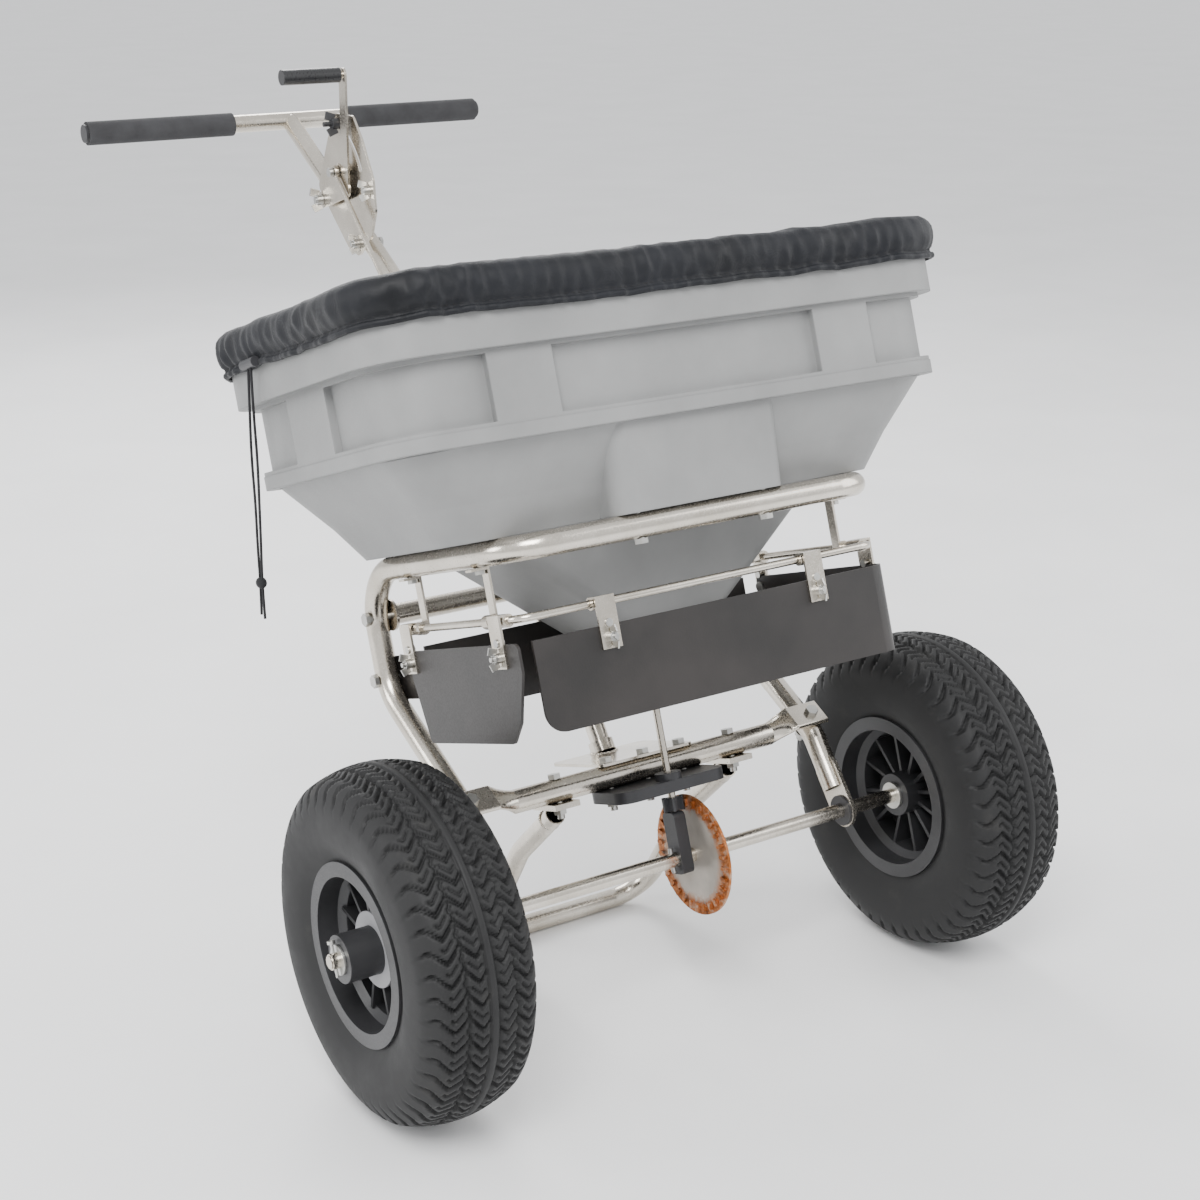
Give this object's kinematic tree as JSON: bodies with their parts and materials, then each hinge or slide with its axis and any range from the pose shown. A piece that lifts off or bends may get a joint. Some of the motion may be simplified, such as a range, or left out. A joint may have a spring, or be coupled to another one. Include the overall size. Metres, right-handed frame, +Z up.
{
  "type": "walk-behind broadcast spreader",
  "caption": "Push broadcast spreader for salt, grit or seed: covered hopper over a gear-driven impeller, deflectors, pneumatic wheels, T-handle with flow lever and a rear stand.",
  "frame": {"origin": "centre of the bounding box's base, on the ground", "axes": "+Z up, -Y towards the front of the spreader, +Y towards the operator's handle, +X to the right as seen from the front camera side; the chassis leans back 19 degrees on its stand"},
  "size_m": [0.827, 1.0752, 0.9447],
  "materials": {
    "stainless_tube": "drawn stainless tube, softly polished",
    "zinc_fastener": "bright zinc plate",
    "black_plastic": "moulded black nylon",
    "white_plastic": "moulded pale nylon",
    "hopper_plastic": "light grey rotomoulded polyethylene, fine grain",
    "deflector_skin": "dark grey-brown sheet, slight sheen",
    "foam_grip": "closed-cell foam",
    "vinyl_grip": "dipped vinyl",
    "tyre_rubber": "dark grey tyre rubber",
    "rim_plastic": "moulded black rim",
    "hub_grey": "grey moulded ring",
    "valve_rubber": "valve rubber",
    "gear_steel": "pressed steel with light rust and grease",
    "cover_fabric": "woven coated nylon, blue-black",
    "cord_fibre": "braided black cord"
  },
  "bodies": {
    "chassis": {"axle_bushes": "black_plastic", "bearing_block": "black_plastic", "crank_bracket": "stainless_tube", "crank_pin": "zinc_fastener", "deflector_rod": "stainless_tube", "frame_bolts": "zinc_fastener", "frame_hoop": "stainless_tube", "front_clamp_screws": "zinc_fastener", "front_clamps": "stainless_tube", "front_deflector": "deflector_skin", "gauge_bolts": "zinc_fastener", "gauge_plate": "stainless_tube", "gear_yoke": "black_plastic", "grip_plugs": "black_plastic", "handle_crossbar": "stainless_tube", "handle_plate": "stainless_tube", "handle_stem": "stainless_tube", "hanger_straps": "stainless_tube", "hopper": "hopper_plastic", "left_grip": "foam_grip", "lever_pivot_bolt": "zinc_fastener", "lower_cross_tube": "stainless_tube", "outlet_plate": "stainless_tube", "rear_shield": "deflector_skin", "right_grip": "foam_grip", "stand_frame": "stainless_tube", "upper_cross_tube": "stainless_tube"},
    "drive_axle_group": {"drive_axle": "stainless_tube", "gear_disc": "gear_steel", "axle_pins": "zinc_fastener", "hub_washers": "zinc_fastener", "split_pins": "zinc_fastener", "drive_tyre": "tyre_rubber", "drive_rim": "rim_plastic", "drive_hub_ring": "hub_grey", "drive_valve": "valve_rubber"},
    "free_wheel": {"free_tyre": "tyre_rubber", "free_rim": "rim_plastic", "free_hub_ring": "hub_grey", "free_valve": "valve_rubber"},
    "impeller_group": {"impeller_shaft": "stainless_tube", "pinion": "black_plastic", "impeller": "white_plastic", "impeller_pin": "zinc_fastener", "agitator": "stainless_tube"},
    "lever_group": {"flow_lever": "stainless_tube", "lever_grip": "vinyl_grip", "clevis_bolt": "zinc_fastener"},
    "rod_group": {"control_rod": "stainless_tube"},
    "crank_group": {"bell_crank": "stainless_tube"},
    "shutter_group": {"shutter_plate": "stainless_tube"},
    "knob_group": {"stop_knob": "black_plastic"},
    "left_flap": {"left_deflector": "deflector_skin", "left_clamps": "stainless_tube", "left_clamp_screws": "zinc_fastener"},
    "cover_group": {"cover": "cover_fabric", "cord_toggle": "black_plastic", "drawcord_front": "cord_fibre", "drawcord_rear": "cord_fibre", "cord_knot": "cord_fibre"}
  },
  "joints": [
    {"name": "axle_spin", "type": "hinge", "parent": "chassis", "child": "drive_axle_group", "pos_m": [0, -0.35963, 0.178], "axis": [1, 0, 0], "continuous": true},
    {"name": "free_wheel_spin", "type": "hinge", "parent": "drive_axle_group", "child": "free_wheel", "pos_m": [-0.33375, -0.35963, 0.178], "axis": [1, 0, 0], "continuous": true},
    {"name": "impeller_spin", "type": "hinge", "parent": "chassis", "child": "impeller_group", "pos_m": [0, -0.32708, 0.27255], "axis": [0, 0.3256, 0.9455], "continuous": true},
    {"name": "lever_swing", "type": "hinge", "parent": "chassis", "child": "lever_group", "pos_m": [-0.0245, 0.38411, 0.7807], "axis": [1, 0, 0], "range_deg": [0, 23]},
    {"name": "rod_pivot", "type": "hinge", "parent": "lever_group", "child": "rod_group", "pos_m": [-0.03, 0.33927, 0.81941], "axis": [1, 0, 0], "range_deg": [-21.42, 0]},
    {"name": "crank_turn", "type": "hinge", "parent": "chassis", "child": "crank_group", "pos_m": [-0.0245, -0.19618, 0.33325], "axis": [1, 0, 0], "range_deg": [-40.76, 0]},
    {"name": "shutter_slide", "type": "slide", "parent": "chassis", "child": "shutter_group", "axis": [0, 0.9455, -0.3256], "range_m": [0, 0.02106]},
    {"name": "stop_knob_slot", "type": "hinge", "parent": "chassis", "child": "knob_group", "pos_m": [-0.0245, 0.38411, 0.7807], "axis": [1, 0, 0], "range_deg": [0, 8]},
    {"name": "left_flap_swing", "type": "hinge", "parent": "chassis", "child": "left_flap", "pos_m": [-0.218, -0.26522, 0.4522], "axis": [0, 0.9455, -0.3256], "range_deg": [0, 80]},
    {"name": "cover_lift", "type": "slide", "parent": "chassis", "child": "cover_group", "axis": [0, 0.3256, 0.9455], "range_m": [0, 0.15]}
  ],
  "couplings": [
    {"joint": "impeller_spin", "follows": "axle_spin", "ratio": -5},
    {"joint": "rod_pivot", "follows": "lever_swing", "ratio": -0.92256},
    {"joint": "crank_turn", "follows": "lever_swing", "ratio": -1.759},
    {"joint": "shutter_slide", "follows": "lever_swing", "m_per_rad": 0.051718}
  ]
}
